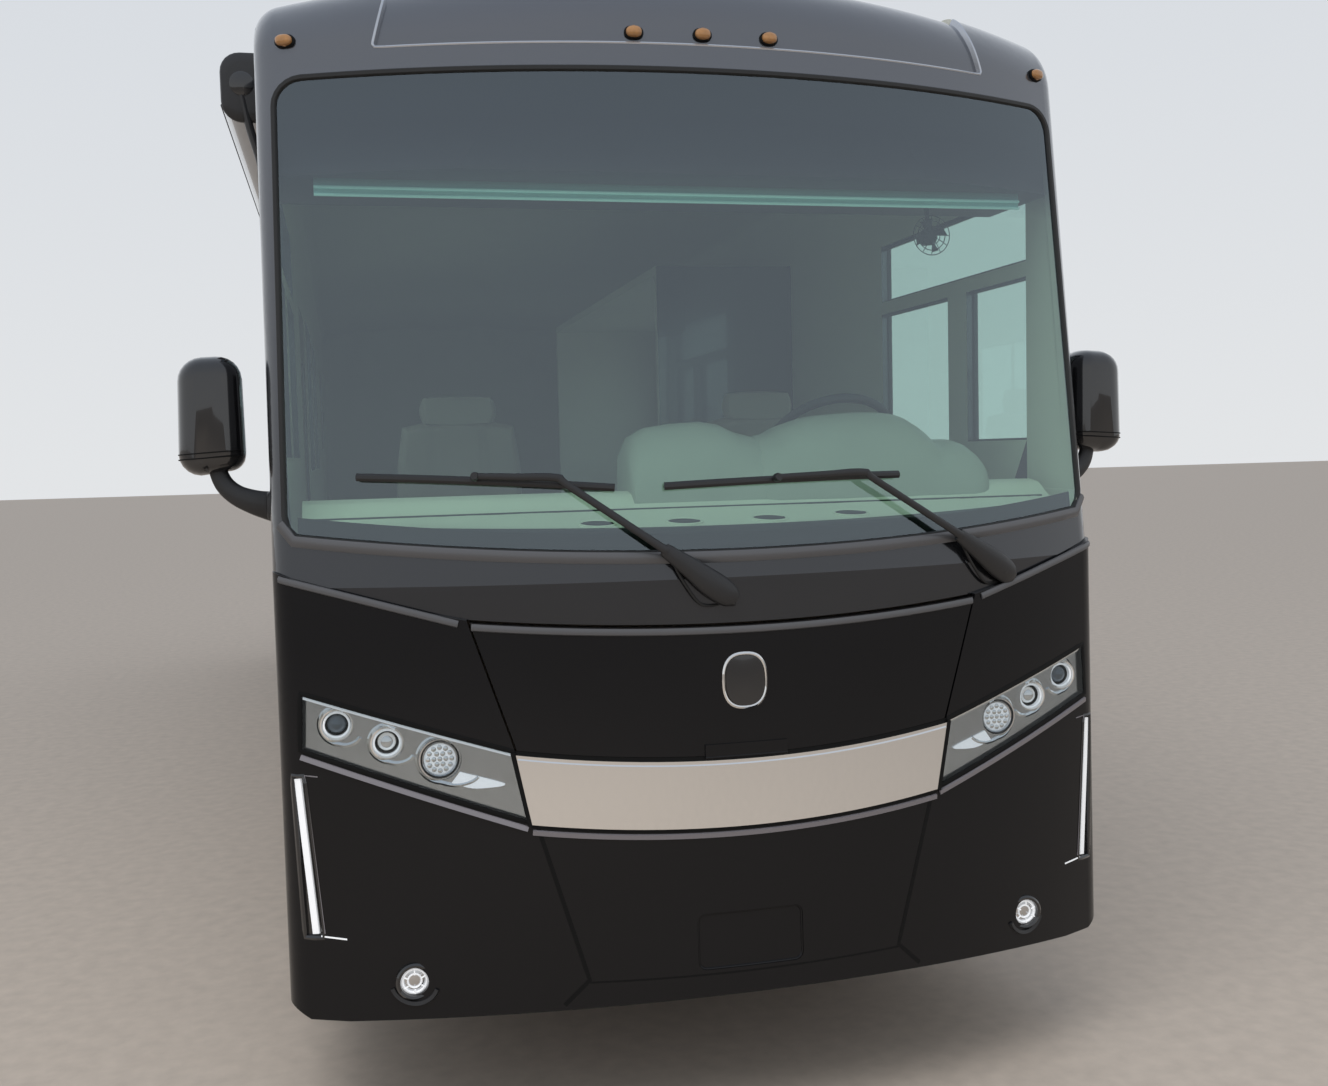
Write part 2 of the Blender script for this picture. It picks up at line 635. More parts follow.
# Headlamps: each lamp is (x, z, round side, pointed side) in metres, then bowl and ring in millimetres
LAMP_CORNERS = [(0.612, 0.948), (1.215, 1.15), (1.209, 1.305), (0.65, 1.142)]
LAMPS = ((0.841, 1.123, 0.064, 0.105, 57.5, 48), (0.981, 1.169, 0.052, 0.07, 45.5, 38),
    (1.115, 1.218, 0.052, 0.062, 45.5, 37))
LIP_EDGE = [(-8, 0), (-7, 4), (6, 7), (8, 0)]
INNER_LAMP, MIDDLE_LAMP = LAMPS[0][0], LAMPS[1][0]


def crescent(k, x, z, round_side, pointed_side):
    """Line round a lamp that is drawn out to a point on its inner side."""
    line = []
    for degrees in spread(112, -163, 40):
        c, s = cos(radians(degrees)), sin(radians(degrees))
        reach, pull = (pointed_side, 1 - 0.25 * s ** 2) if c < 0 else (round_side, 1)
        line.append((k * (x + reach * c * pull), z + round_side * s + 0.3 * min(0, c) * reach))
    return line[::k]


for k, name in SIDES:
    corners = [(k * u, v) for u, v in LAMP_CORNERS]
    border = [(-10, -12), (-10, 1), (-4, 3), (4, 1), (6, -14)]
    band("border", seam_black, fascia_at, dense(corners[::k], 0.02, True), border, True)
    top, low = dense([corners[3], corners[2]], 0.02), dense(corners[:2], 0.02)
    band("edge", chrome, fascia_at, [(u, v - 0.01) for u, v in top], [(-4, -10), (-4, -5), (3, -3),
        (3, -10)])
    band("lip", lip_grey, fascia_at, [(u, v - 0.021) for u, v in low], LIP_EDGE)
    tear = [(0.792, 1.088), (0.69, 1.06), (0.672, 1.05), (0.7, 1.044), (0.76, 1.042), (0.815, 1.058)]
    tear = [(k * u, v) for u, v in smooth_path(tear, 5)]
    half = len(tear) // 2
    plate("tear", lamp_white, fascia_at, tear[:half], tear[:half - 1:-1][:half], -0.0085, -0.0105)
    for x, z, round_side, pointed_side, bowl, ring in LAMPS:
        line = crescent(k, x, z, round_side, pointed_side)
        band("crescent", chrome, fascia_at, line, [(-6, -13), (-6, -10), (0, -5.5), (6, -9), (6, -13)])
        rim = fascia_at(k * x, z) + Vector((0, 0.012, 0))
        lathe("bowl", lamp_silver if x == INNER_LAMP else chrome, rim, FORWARD, [(-46, 0), (-46, ring),
            (-30, ring + 4), (-8, bowl - 2), (2, bowl), (2, bowl - 4), (-10, bowl - 6), (-28, ring),
            (-34, ring - 4), (-38, ring - 12), (-40, 0)], 40)
        lathe("ring", seam_black if x == INNER_LAMP else chrome, rim, FORWARD, [(-30, ring + 3),
            (-20, ring + 4), (-14, ring), (-18, ring - 5), (-30, ring - 5)], 40, True)
        if x == INNER_LAMP:
            lathe("disc", lamp_white, rim, FORWARD, [(-40, 0), (-40, ring - 4), (-9, ring - 4),
                (-6, ring - 10), (-5, 0)], 40)
            for count, reach in ((1, 0), (6, 0.0165), (12, 0.0325)):
                for turn in turns(count):
                    lathe("cell", chrome, rim + facing(turn, reach), FORWARD, [(-7, 7.2), (-3.5, 6.8),
                        (-1.5, 4.5), (-1, 0)], 14)
            lathe("rim", lamp_silver, rim, FORWARD, hoop(ring - 1.5, 2.5, -12, -3), 40, True)
        else:
            lathe("halo", lamp_white, rim, FORWARD, hoop(ring - 2, 3, -18, -4), 40, True)
            lathe("ball", chrome if x == MIDDLE_LAMP else lens_ball, rim, FORWARD, [(-40, ring * 0.8),
                (-30, ring * 0.8), (-20, ring * 0.7), (-12, ring * 0.5), (-7, ring * 0.25), (-6, 0)], 36)
            lathe("trim", black_gloss, rim, FORWARD, [(-30, ring * 0.92), (-24, ring * 0.92),
                (-22, ring * 0.84), (-30, ring * 0.82)], 36, True)
    group("headlamp_detail_" + name)
    cover = corners if k > 0 else [corners[i] for i in (1, 0, 3, 2)]
    quad("cover", clear_lens, fascia_at, cover, -0.001, -0.004, 28, 6)
    group("headlamp_cover_" + name)


# Running lights, fog lamps and seams in the fascia
RUNNING_CORNERS = [(1.176, 0.622), (1.222, 0.622), (1.24, 1.073), (1.212, 1.073)]
FOG_X, FOG_Z = 0.932, 0.504
for k, name in SIDES:
    line = dense([(k * u, v) for u, v in RUNNING_CORNERS][::k], 0.02, True)
    band("bezel", black_gloss, fascia_at, line, [(-10, -10), (-10, 1), (-3, 4), (3, 0), (3, -12)], True)
    fold = dense([(k * 1.18, 0.624), (k * 1.11, 0.618)], 0.01)
    band("fold", lamp_white, fascia_at, fold, [(-2.5, -2), (-2, 1.5), (2, 1.5), (2.5, -2)])
    line = dense([(k * 1.169, 0.632), (k * 1.207, 1.078), (k * 1.172, 1.075)], 0.02)
    band("line", lip_grey, fascia_at, line, flat(1.5, 2, -3))
    core = dense([(k * 1.196, 0.629), (k * 1.23, 1.067)], 0.02)
    band("core", lamp_white, fascia_at, core, [(-11.5, -10), (-9.5, -3), (9.5, -3), (11.5, -10)])
    rim = fascia_at(k * FOG_X, FOG_Z)
    lathe("bezel", black_gloss, rim, FORWARD, [(-20, 52), (4, 52), (9, 47), (6, 40), (-10, 37), (-20, 37)],
        40, True)
    lathe("glass", lamp_silver, rim, FORWARD, [(-18, 37), (-12, 36), (-8, 26), (-6, 12), (-5, 0)], 36)
    for radius, wide in ((34, 4), (19, 2.5)):
        lathe("ring", lamp_white, rim, FORWARD, hoop(radius, wide, -14, -4), 40, True)
    for turn in (0.5, 1.57, 2.64, 3.64, 4.71, 5.78):
        spoke = [(*rim + facing(turn, reach, -0.006), 0.0022) for reach in (0.02, 0.027, 0.033)]
        tube("spoke", lamp_white, spoke, 6, 2, 1, REARWARD)
    scoop = [(k * (FOG_X + 0.062 * cos(a)), FOG_Z + 0.06 * sin(a))
        for a in map(radians, spread(-160, -20, 20))]
    band("scoop", black_plastic, fascia_at, scoop[::k], [(-10, -2), (-6, 8), (4, 5), (6, -2)])
    group("lower_lamp_trim_" + name)


def fascia_seam(line, width, high):
    """Dark narrow line on the fascia, in millimetres."""
    band("seam", seam_black, fascia_at, line, flat(width / 2, high, -3))


for k, _ in SIDES:
    fascia_seam(dense([(k * 0.586, 0.93), (k * 0.46, 0.497), (k * 0.53, 0.43)], 0.03), 12, 0.6)
fascia_seam(sag(-0.46, 0.46, 0.49, 0.487, 12), 5, 0.6)
for k, _ in SIDES:
    fascia_seam(dense([(k * 0.606, 0.936), (k * 0.647, 1.14)], 0.02), 12, 9.2)
for low, high, half in ((0.897, 0.934, 0.603), (1.098, 1.14, 0.64)):
    fascia_seam(sag(-half, half, high, low, 30), 10, 0.8)
group("fascia_seams")
band("lip", lip_grey, fascia_at, sag(-0.6, 0.6, 0.917, 0.881, 30), LIP_EDGE)
band("edge", chrome, fascia_at, sag(-0.633, 0.633, 1.125, 1.083, 30), [(-6, 2), (-6, 11), (-4, 11.5),
    (4, 4), (4, 2)])
group("bar_edges")

badge_rim = [(1, -3), (1, 4), (0.94, 8), (0.88, 6), (0.86, 4), (0.5, 5), (0.01, 6)]
badge_field = [(1, 2), (0.98, 8), (0.5, 10), (0.01, 10.5)]
dome("rim", chrome, fascia_at, (0, 1.312), (0.066, 0.08), badge_rim, 2.6)
dome("field", black_gloss, fascia_at, (0, 1.312), (0.057, 0.071), badge_field, 2.6)
group("nose_badge", "nose_door")

plate_line = dense(rectangle(-0.155, 0.5, 0.155, 0.66, 0.025), 0.03, True)
band("frame", fascia_paint, fascia_at, plate_line, [(0, -6.5), (1, -2), (4, -3), (6, -6.5)], True)
group("plate_frame")


# Lamps and rib on the brow
BROW_DEPTH = 14
for x, z, depth in ((-1.182, 3.152, 0), (-0.212, 3.154, BROW_DEPTH), (-0.01, 3.154, BROW_DEPTH),
        (0.194, 3.154, BROW_DEPTH), (1.182, 3.152, 0)):
    for part, size, profile, material in (("base", (0.028, 0.02), [(1, -4), (1, 5), (0.9, 8), (0.3, 8)],
            seam_black), ("lens", (0.023, 0.016), [(1, 2), (1, 12), (0.92, 17), (0.7, 21), (0.35, 23),
            (0.01, 23.5)], amber)):
        dome(part, material, cap_at, (x, z), size, [(share, proud - depth) for share, proud in profile],
            2.4)
group("marker_lamp_domes")

end_line = [(0.935, 3.119), (0.94, 3.128), (0.9385, 3.136), (0.905, 3.262), (0.901, 3.322)]
rib_line = dense([(-x, z) for x, z in end_line[::-1]], 0.01) + sag(-0.91, 0.91, 3.118, 3.12,
    30) + dense(end_line, 0.01)
band("rib", edge_light, crown_at, rib_line, [(-4, -10), (-4, 0.5), (-1, 2.5), (3, 0), (6, -18)])
group("brow_rib")


# Cab: dash, instrument pod, steering wheel, fan and cabinet doors
DASH_PROFILE = [(0.06, 1.712), (0.1, 1.73), (0.4, 1.777), (0.43, 1.79), (0.48, 1.824), (0.54, 1.834),
    (0.64, 1.832), (0.68, 1.815), (0.702, 1.775)]
DASH_END = 0.702


def dash_top(s):
    """Height of the dash at a station."""
    for (s0, z0), (s1, z1) in zip(DASH_PROFILE, DASH_PROFILE[1:]):
        if s <= s1:
            return z0 + (z1 - z0) * max(0, s - s0) / (s1 - s0)
    return DASH_PROFILE[-1][1]


rings = []
for x in spread(-1.19, 1.19, 60):
    front = bow(x) + 0.075
    top = [(x, s, dash_top(s) - 0.01 * (s == front)) for s in spread(front, DASH_END, 26)]
    rings.append(placed([(x, front, 1.6)] + top + [(x, 0.705, 1.52), (x, 0.66, 1.5), (x, 0.65, 1.6)]))
skin("shell", cab_trim, rings, sharp=35)
VENT_RADIUS, SLAT_GAP = 0.045, 0.012
for x, s in ((-0.36, 0.225), (-0.103, 0.215), (0.16, 0.22), (0.43, 0.25)):
    centre, tilt = Vector((x, at(s), dash_top(s))), Vector((0, -0.12, 1))
    lathe("vent", cab_trim, centre, tilt, [(-4, 56), (3, 56), (5, 52), (2, 48), (-2, 46)], 32, True)
    lathe("hole", seam_black, centre, tilt, [(-4, 49), (2, 49), (2.5, 0)], 32)
    for i in range(-3, 4):
        reach = sqrt(VENT_RADIUS ** 2 - (SLAT_GAP * i) ** 2)
        middle = at(s) + SLAT_GAP * i
        box_mesh("slat", cab_dark, (x - reach, middle - 0.0015, centre.z), (x + reach, middle + 0.0015,
            centre.z + 0.005), 0.001)
tube("crease", cab_dark, placed([(-1.16 + 0.08 * i, 0.408, dash_top(0.408) + 0.001, 0.0035)
    for i in range(30)]), 8, 1)
foot = [(x, at(bow(x) + 0.078)) for x in spread(-1.17, 1.17, 40)]
skin("dark_edge", cab_dark, [[(x, y, 1.68), (x, y - 0.01, 1.742), (x, y + 0.02, 1.7415 + 0.12 * max(0,
    y - at(0.078))), (x, y + 0.022, 1.7)] for x, y in foot], sharp=60)

POD_OUTLINE = [(0.18, 1.8), (0.19, 1.93), (0.23, 1.992), (0.28, 2.006), (0.325, 2.029), (0.42, 2.057),
    (0.52, 2.066), (0.61, 2.07), (0.7, 2.065), (0.762, 2.044), (0.812, 2.006), (0.845, 1.975),
    (0.905, 1.974), (0.948, 1.962), (0.985, 1.925), (1.008, 1.88), (1.015, 1.8)]
POD_RINGS = ((0.432, 0.05, 0.8), (0.44, 0.3, 0.9), (0.452, 0.52, 0.95), (0.472, 0.7, 0.98), (0.5, 0.83, 1),
    (0.54, 0.93, 1), (0.59, 0.99, 1), (0.64, 1, 1), (0.69, 0.985, 1), (0.712, 0.955, 0.99),
    (0.716, 0.925, 0.97), (0.7, 0.9, 0.95))
STACK_OUTLINE = [(-0.205, 1.7), (-0.202, 1.84), (-0.198, 1.95), (-0.175, 2.005), (-0.13, 2.032),
    (-0.05, 2.043), (0.05, 2.048), (0.11, 2.038), (0.165, 2.012), (0.232, 1.994), (0.28, 1.96), (0.3, 1.7)]
STACK_RINGS = ((0.44, 0.1), (0.455, 0.45), (0.49, 0.75), (0.54, 0.93), (0.6, 1), (0.69, 0.98),
    (0.712, 0.92))
POD_MIDDLE, POD_FOOT, DASH_LEVEL = 0.605, 1.7, 1.8


def raised(z, share):
    """Height over the dash, lowered to a share."""
    return DASH_LEVEL + (z - DASH_LEVEL) * share


rings = []
for s, high, wide in POD_RINGS:
    top = [(POD_MIDDLE + (x - POD_MIDDLE) * wide, s, raised(z, high)) for x, z in smooth_path(POD_OUTLINE,
        3)]
    rings.append(placed([(top[0][0], s, POD_FOOT)] + top + [(top[-1][0], s, POD_FOOT)]))
skin("pod", cab_hood, rings, sharp=50)
rings = [placed([(x, s, raised(z, high) if z > DASH_LEVEL else z) for x, z in STACK_OUTLINE])
    for s, high in STACK_RINGS]
skin("centre_stack", cab_hood, rings, sharp=50)
panel = ((0.25, 1.84), (0.97, 1.84), (0.9, 1.925), (0.8, 1.985), (0.68, 2.025), (0.45, 2.025), (0.29, 1.97))
skin("instruments", cab_dark, [placed([(x, s, z) for x, z in panel]) for s in (0.712, 0.7175)])
for x, z, radius in ((0.5, 1.955, 55), (0.66, 1.955, 55), (0.39, 1.93, 30), (0.78, 1.93, 30)):
    dial, reach = Vector((x, at(0.706), z)), radius * MM
    lathe("dial", chrome, dial, REARWARD, [(0, radius), (6, radius), (8, radius - 5), (4, radius - 8)], 32,
        True)
    lathe("face", black_gloss, dial, REARWARD, [(1, radius - 6), (3, radius - 6), (3.5, 0)], 32)
    tube("needle", amber, placed([(x, 0.711, z, 0.0016), (x - reach * 0.4, 0.711, z + reach * 0.35,
        0.0008)]), 6, 2)
COLUMN_RAKE = radians(40)
steer_axis = Vector((0, sin(COLUMN_RAKE), cos(COLUMN_RAKE)))
steer_centre = Vector((0.62, at(0.93), 1.985))
lathe("column", cab_dark, steer_centre - steer_axis * 0.38, steer_axis, [(20, 55), (100, 62), (240, 56),
    (300, 46), (332, 34), (334, 0), (20, 0)], 28)
for k in (-1, 1):
    stalk = steer_centre - steer_axis * 0.085
    ends = [(*stalk + Vector((k * x, 0, z)), r) for x, z, r in ((0.03, 0, 0.008), (0.1, 0.01, 0.007),
        (0.165, 0.02, 0.009))]
    tube("stalk", cab_dark, ends, 10, 4)
group("dash_shell", replaces=("dash",))


def wheel_out(turn):
    """Direction across the steering wheel."""
    side = Vector(LEFTWARD)
    return side * cos(turn) + steer_axis.cross(side) * sin(turn)


rings = []
for turn in turns(64):
    swell = 0.0155 + 0.0015 * cos(turn * 2) ** 4
    rings.append([steer_centre + wheel_out(turn) * (0.215 + swell * cos(a)) + steer_axis * swell * sin(a)
        for a in turns(14)])
skin("rim", cab_dark, rings, True, 60)
for degrees in (90, 210, 330):
    out = wheel_out(radians(degrees))
    ends = [(*steer_centre + out * r + steer_axis * h, w) for r, h, w in ((0.04, -0.006, 0.022),
        (0.1, -0.01, 0.018), (0.16, -0.006, 0.015), (0.208, 0, 0.014))]
    tube("spoke", grey_satin, ends, 12, 5, 0.5, steer_axis)
lathe("hub", cab_dark, steer_centre, steer_axis, [(-44.7, 0), (-44.7, 50), (-30, 60), (-4, 70), (6, 64),
    (12, 40), (13, 0)], 36)
group("steering_wheel_leather", "steering_wheel", ("steering_wheel",))

fan_centre = Vector((0.85, at(0.57), 2.645))
lathe("motor", cab_dark, fan_centre, FORWARD, [(-45, 0), (-45, 26), (-10, 30), (0, 16), (4, 0)], 20)
for radius in (30, 48, 64):
    guard = [(8, radius), (10, radius + 1.5), (12, radius), (10, radius - 1.5)]
    lathe("guard", cab_dark, fan_centre, FORWARD, guard, 36, True)
for turn in turns(12):
    wire = [(*fan_centre + facing(turn, reach, rise), 0.0013) for reach, rise in ((0.012, -0.014),
        (0.045, -0.013), (0.064, -0.008))]
    tube("wire", cab_dark, wire, 6, 3, 1, REARWARD)
for turn in turns(4):
    blade = [[fan_centre + facing(turn + 0.3 + wide, reach, rise) for wide, rise in ((-0.32, -0.014),
        (0.32, 0.006), (0.32, 0.008), (-0.32, -0.012))] for reach in (0.018, 0.036, 0.056)]
    skin("blade", cab_dark, blade)
bracket = placed([(0.85, 0.59, 2.665, 0.009), (0.85, 0.592, 2.7, 0.008), (0.85, 0.6, 2.772, 0.01)])
tube("bracket", cab_dark, bracket, 10, 4, 1, REARWARD)
group("cab_fan")

for i in range(5):
    x0, x1 = -1.05 + 0.42 * i + 0.006, -1.05 + 0.42 * (i + 1) - 0.006
    box_mesh("door", wood, (x0, at(0.902), 2.8), (x1, at(0.918), 3.19), 0.004)
    pull = [((x0 + x1) / 2 + x, s, 2.84, 0.005) for x, s in ((-0.05, 0.918), (-0.045, 0.934),
        (0.045, 0.934), (0.05, 0.918))]
    tube("pull", chrome, placed(pull), 8, 4)
SHADE_LOW, SHADE_HIGH, SHADE_HALF = 2.722, 2.86, 1.12
shade_rows = [[(x, z) for x in spread(-SHADE_HALF, SHADE_HALF, 20)] for z in (SHADE_LOW, SHADE_HIGH)]
plate("shade", shade_cloth, lambda u, v: Vector((u, at(0.48), v)), *shade_rows, 0.002, -0.008, 4)
for z in (SHADE_LOW, 2.744):
    tube("shade_bar", shade_bar, placed([(x, 0.474, z, 0.0045) for x in spread(-SHADE_HALF, SHADE_HALF,
        10)]), 10, 2)
group("overhead_doors")


# Cab seats
def cushion(name, material, centre, size, crown, channels, lean, faces_up):
    """Padded block with crowned faces, rounded sides and sewn channels across its top or front."""
    shell = bmesh.new()
    bmesh.ops.create_cube(shell, size=1)
    bmesh.ops.subdivide_edges(shell, edges=shell.edges, cuts=23, use_grid_fill=True)
    turn = Matrix.Rotation(lean, 4, "X")
    for vert in shell.verts:
        p = vert.co * 2
        face = max(abs(c) for c in p)
        q = p.lerp(p.normalized() * face if face else p, 0.42)
        q = Vector([copysign(abs(c) ** 0.92, c) for c in q])
        place = Vector([c * s / 2 for c, s in zip(q, size)])
        bulge = crown * (1 - p.x ** 2) * (1 - (p.y if faces_up else p.z) ** 2)
        groove = sum(exp(-((p.x - c) / 0.035) ** 2) for c in channels) * 0.009
        if faces_up:
            place.z += bulge - groove if p.z > 0 else 0
        else:
            place.y += groove - bulge if p.y < 0 else bulge * 0.3
        vert.co = turn @ place + Vector(centre)
    mesh = bpy.data.meshes.new(name)
    shell.to_mesh(mesh)
    shell.free()
    mesh.shade_smooth()
    pile.append((mesh, material))


SEAT_X = 0.62
CUSHIONS = (("seat_cushion_", 1.5, 1.52, (0.52, 0.5, 0.125), 0.022, (-0.42, 0.42), 0.03, True),
    ("seat_back_", 1.79, 1.825, (0.49, 0.12, 0.56), -0.02, (-0.42, 0.42), 0, False), ("headrest_", 1.785,
    2.135, (0.3, 0.095, 0.12), -0.01, (), 0, False))
for k, name in SIDES:
    x = k * SEAT_X
    for part, s, z, *shape in CUSHIONS:
        cushion(part, leather, (x, at(s), z), *shape)
        group(part + name, replaces=("seats",))
    box_mesh("plinth", cab_dark, (x - 0.19, at(1.29), FLOOR_TOP), (x + 0.19, at(1.71), 1.3), 0.012)
    lathe("swivel", black_plastic, (x, at(1.5), 1.3), UPWARD, [(0, 150), (30, 150), (34, 110), (150, 100),
        (150, 0), (0, 0)], 32)
    box_mesh("pan", black_plastic, (x - 0.235, at(1.27), 1.44), (x + 0.235, at(1.73), 1.468), 0.01)
    for side in (-1, 1):
        post = placed([(x + side * 0.06, 1.785, z, 0.006) for z in (2.06, 2.13)])
        tube("post", chrome, post, 8, 2, 1, REARWARD)
        rest = ((1.8, 1.7, 0.016), (1.7, 1.745, 0.026), (1.56, 1.755, 0.03), (1.43, 1.75, 0.026))
        tube("arm", leather, placed([(x + side * 0.243, *point) for point in rest]), 14, 5, 0.8)
    group("seat_base_" + name, replaces=("seats",))


# Sides: window frames, trim strips, wheel arches, joints and locker latches; places are (s0, s1, z0, z1)
CAB_WINDOWS = [(0.64, 1.09, 1.965, 2.525), (1.25, 1.9, 1.965, 2.525), (0.64, 1.9, 2.577, 2.815)]
BEDROOM_WINDOW = (7.9, 8.7, 2.05, 2.7)
WINDOWS = {1: CAB_WINDOWS + [BEDROOM_WINDOW], -1: CAB_WINDOWS + [(3.7, 4.7, 1.9, 2.7), (5.018, 6.018, 1.9,
    2.7), BEDROOM_WINDOW]}
SLIDE_WINDOWS = [(3.5, 4.5, 1.9, 2.65), (4.9, 6, 1.9, 2.65)]
LOCKERS = {1: [(2.56, 3.88), (3.9, 5.22), (5.24, 6.56)], -1: [(3.4, 4.44), (4.46, 5.5), (5.52, 6.56)]}
STRIPS = {1: [(0.64, 1.32), (2.48, 6.6), (7.77, 10.18)], -1: [(0.64, 1.32), (2.48, 2.575), (3.325, 6.6),
    (7.77, 10.18)]}
STRIP_HEIGHT, ARCH_RADIUS, ARCH_FOOT = 1.035, 0.572, 0.388
frame_section = [(-22, 0), (-20, 5), (-4, 7), (6, 4), (12, -4), (12, -14), (-22, -1)]


def box_line(k, s0, s1, z0, z1, radius=0):
    """Anticlockwise rectangle on a flank, seen from outside."""
    u0, u1 = sorted((k * s0, k * s1))
    return rectangle(u0, z0, u1, z1, radius)


def window(surface, k, s0, s1, z0, z1):
    """Frame of a window, with a bar down the middle of a large one."""
    band("frame", black_plastic, surface, box_line(k, s0, s1, z0, z1), frame_section, True)
    if s1 - s0 > 0.75 and z1 - z0 > 0.5:
        middle = k * (s0 + s1) / 2
        band("bar", black_plastic, surface, [(middle, z0), (middle, z1)], flat(16, 1, -6))


for k, name in SIDES:
    surface = flank(k)
    for place in WINDOWS[k]:
        window(surface, k, *place)
    group("window_frames_" + name)
    for s0, s1 in STRIPS[k]:
        band("strip", chrome, surface, [(k * s, STRIP_HEIGHT) for s in (s0, s1)], [(-14, 0), (-10, 5),
            (10, 5), (14, 0)])
    for s_axle in (S_FRONT_AXLE, S_REAR_AXLE):
        arch = [(k * (s_axle + ARCH_RADIUS * cos(a)), TYRE_RADIUS + ARCH_RADIUS * sin(a))
            for a in spread(0, pi, 40)]
        arch = [(k * (s_axle + ARCH_RADIUS), ARCH_FOOT)] + arch + [(k * (s_axle - ARCH_RADIUS), ARCH_FOOT)]
        band("arch", black_plastic, surface, arch[::k], [(-6, -20), (-6, 6), (20, 6), (30, 1), (30, -1),
            (0, -20)])
    for s in (0.618, 10.202):
        band("joint", seam_black, surface, [(k * s, 0.4), (k * s, 3.18)], flat(3, 0.8, -3))
    band("eave", seam_black, surface, [(k * 0.64, 3.2), (k * 10.18, 3.2)], flat(4, 1, -3))
    group("side_trim_" + name)
    for place_name, (s0, s1) in zip(("front", "middle", "rear"), LOCKERS[k]):
        for s in ((s0 + s1) / 2 - 0.28, (s0 + s1) / 2 + 0.28):
            cup, paddle = [(1, -1), (1, 5), (0.9, 7), (0.8, 4), (0.01, 2)], [(1, 2), (0.97, 8), (0.6, 11.5),
                (0.01, 12)]
            dome("cup", black_plastic, surface, (k * s, 0.52), (0.062, 0.032), cup, 4)
            dome("paddle", black_gloss, surface, (k * s, 0.515), (0.04, 0.016), paddle, 4)
            dome("lock", chrome, surface, (k * s, 0.538), (0.008, 0.006), [(1, 2), (0.9, 8), (0.01, 9)])
        edge = box_line(k, s0 + 0.01, s1 - 0.01, 0.46, 0.958)
        band("edge", fascia_paint, surface, edge, flat(3, 1.2), True)
        group(f"locker_latches_{name}_{place_name}", f"locker_door_{name}_{place_name}")

right_side = flank(-1)
HANDLE_S, RAIL_S, FUEL_PLACE = 3.215, 3.365, (-0.9, 1.25)
window(right_side, -1, 2.74, 3.16, 1.65, 2.4)
dome("plate", black_plastic, right_side, (-HANDLE_S, 1.18), (0.034, 0.085), [(1, -1), (1, 6), (0.92, 9),
    (0.01, 10)], 4)
handle = ((-1.28, 1.245, 0.009), (-1.306, 1.225, 0.011), (-1.308, 1.15, 0.011), (-1.283, 1.12, 0.009))
tube("handle", chrome, placed([(x, HANDLE_S, z, r) for x, z, r in handle]), 12, 5)
dome("lock", chrome, right_side, (-HANDLE_S, 1.285), (0.011, 0.011), [(1, 0), (0.9, 6), (0.01, 7)])
band("edge", fascia_paint, right_side, box_line(-1, 2.612, 3.288, 0.532, 2.56, 0.03), flat(3, 1.5), True)
group("entry_door_detail", "entry_door")

rail = ((-1.276, 1.02, 0.012), (-1.322, 1.06, 0.0145), (-1.326, 1.35, 0.0145), (-1.322, 1.64, 0.0145),
    (-1.276, 1.68, 0.012))
tube("rail", chrome, placed([(x, RAIL_S, z, r) for x, z, r in rail]), 16, 6)
for z in (1.02, 1.68):
    dome("rose", chrome, right_side, (-RAIL_S, z), (0.026, 0.026), [(1, -1), (1, 4), (0.7, 8), (0.01, 8)])
dome("light", lamp_white, right_side, (-3.47, 2.45), (0.05, 0.035), [(1, -1), (0.98, 14), (0.8, 22),
    (0.01, 24)], 3.5)
for s, lens in ((0.9, amber), (9.1, red_lens), (9.7, red_lens)):
    for k, _ in SIDES:
        dome("marker", lens, flank(k), (k * s, 0.9), (0.045, 0.016), [(1, -1), (0.97, 8), (0.7, 13),
            (0.01, 14)], 3)
dome("fuel", body_paint, right_side, FUEL_PLACE, (0.105, 0.105), [(1, -1), (1, 4), (0.95, 6), (0.01, 6)], 5)
dome("fuel_line", seam_black, right_side, FUEL_PLACE, (0.11, 0.11), [(1, -1), (1, 1.2), (0.01, 1.2)], 5)
for s in (8.95, 9.35):
    for k, _ in SIDES:
        left, right = k * s - 0.16, k * s + 0.16
        quad("grille", black_plastic, flank(k), [(left, 0.62), (right, 0.62), (right, 0.98), (left, 0.98)],
            0.002, -0.001, 2, 2)
        for i in range(9):
            z = 0.645 + 0.039 * i
            band("louvre", black_plastic, flank(k), [(k * s - 0.145, z), (k * s + 0.145, z)],
                [(-12, 0), (-13, 10), (-9, 11), (12, 3), (12, 0)])
group("right_side_detail")

# Slide-out: frames and corner trim
slide_face = flank(1, 0.0303)
for place in SLIDE_WINDOWS:
    window(slide_face, 1, *place)
band("corner_trim", black_gloss, slide_face, box_line(1, 3.04, 6.46, 1.12, 2.96), [(0, -24), (0, 0.5),
    (2, 3), (22, 3), (26, 0)], True)
group("slide_trim", "slide_room")

